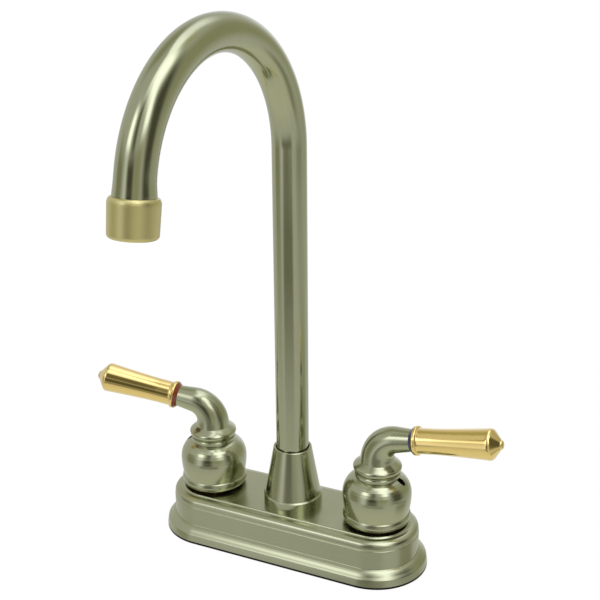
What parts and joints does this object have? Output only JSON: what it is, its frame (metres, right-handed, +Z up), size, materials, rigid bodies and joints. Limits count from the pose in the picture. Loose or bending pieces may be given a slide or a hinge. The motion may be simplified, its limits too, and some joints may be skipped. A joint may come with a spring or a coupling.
{
  "type": "gooseneck bar faucet",
  "caption": "Two-handle centreset bar faucet: stadium base, swivelling gooseneck spout with aerator, quarter-turn lever handles, threaded shanks and nuts for mounting below the deck.",
  "frame": {"origin": "centre of the base's underside, on the deck plane and on the spout post's axis", "axes": "+Z up from the deck, +X along the base towards the cold handle, and the spout reaches towards -Y, towards the user"},
  "size_m": [0.2372, 0.1694, 0.361],
  "materials": {
    "satin_nickel": "brushed satin nickel plating, warm grey with a greenish cast",
    "polished_brass": "polished and lacquered",
    "satin_brass": "satin",
    "cast_brass": "machined from a casting",
    "stainless_steel": "machined",
    "black_rubber": "matt",
    "white_acetal": "moulded",
    "ceramic": "lapped white ceramic",
    "hot_index": "glossy red-brown",
    "cold_index": "glossy navy blue"
  },
  "bodies": {
    "base": {"base_gasket": "black_rubber", "base_cover": "satin_nickel", "valve_body": "cast_brass", "spout_flange": "satin_nickel", "spout_cone": "satin_nickel", "spout_bearing": "white_acetal", "spout_nut": "cast_brass", "hot_deck_washer": "stainless_steel", "hot_lock_nut": "cast_brass", "hot_cover_nut": "cast_brass", "hot_seat_seal": "black_rubber", "hot_fixed_disc": "ceramic", "hot_cartridge_body": "cast_brass", "hot_bonnet_nut": "cast_brass", "cold_deck_washer": "stainless_steel", "cold_lock_nut": "cast_brass", "cold_cover_nut": "cast_brass", "cold_seat_seal": "black_rubber", "cold_fixed_disc": "ceramic", "cold_cartridge_body": "cast_brass", "cold_bonnet_nut": "cast_brass"},
    "spout": {"spout_spigot": "cast_brass", "spout_o_rings": "black_rubber", "spout_tube": "satin_nickel", "spout_nipple": "satin_nickel", "aerator_housing": "satin_brass", "aerator_washer": "black_rubber", "aerator_insert": "white_acetal", "aerator_screen": "stainless_steel"},
    "hot_handle": {"hot_moving_disc": "ceramic", "hot_spindle": "stainless_steel", "hot_handle_bell": "satin_nickel", "hot_set_screw": "stainless_steel", "hot_handle_arm": "satin_nickel", "hot_grip_stud": "stainless_steel", "hot_index_ring": "hot_index", "hot_grip": "polished_brass"},
    "cold_handle": {"cold_moving_disc": "ceramic", "cold_spindle": "stainless_steel", "cold_handle_bell": "satin_nickel", "cold_set_screw": "stainless_steel", "cold_handle_arm": "satin_nickel", "cold_grip_stud": "stainless_steel", "cold_index_ring": "cold_index", "cold_grip": "polished_brass"}
  },
  "joints": [
    {"name": "spout_swivel", "type": "hinge", "parent": "base", "child": "spout", "pos_m": [0, 0, 0.0378], "axis": [0, 0, 1], "continuous": true},
    {"name": "hot_handle_turn", "type": "hinge", "parent": "base", "child": "hot_handle", "pos_m": [-0.0508, 0, 0.04], "axis": [0, 0, 1], "range_deg": [0, 90]},
    {"name": "cold_handle_turn", "type": "hinge", "parent": "base", "child": "cold_handle", "pos_m": [0.0508, 0, 0.04], "axis": [0, 0, 1], "range_deg": [-90, 0]}
  ]
}
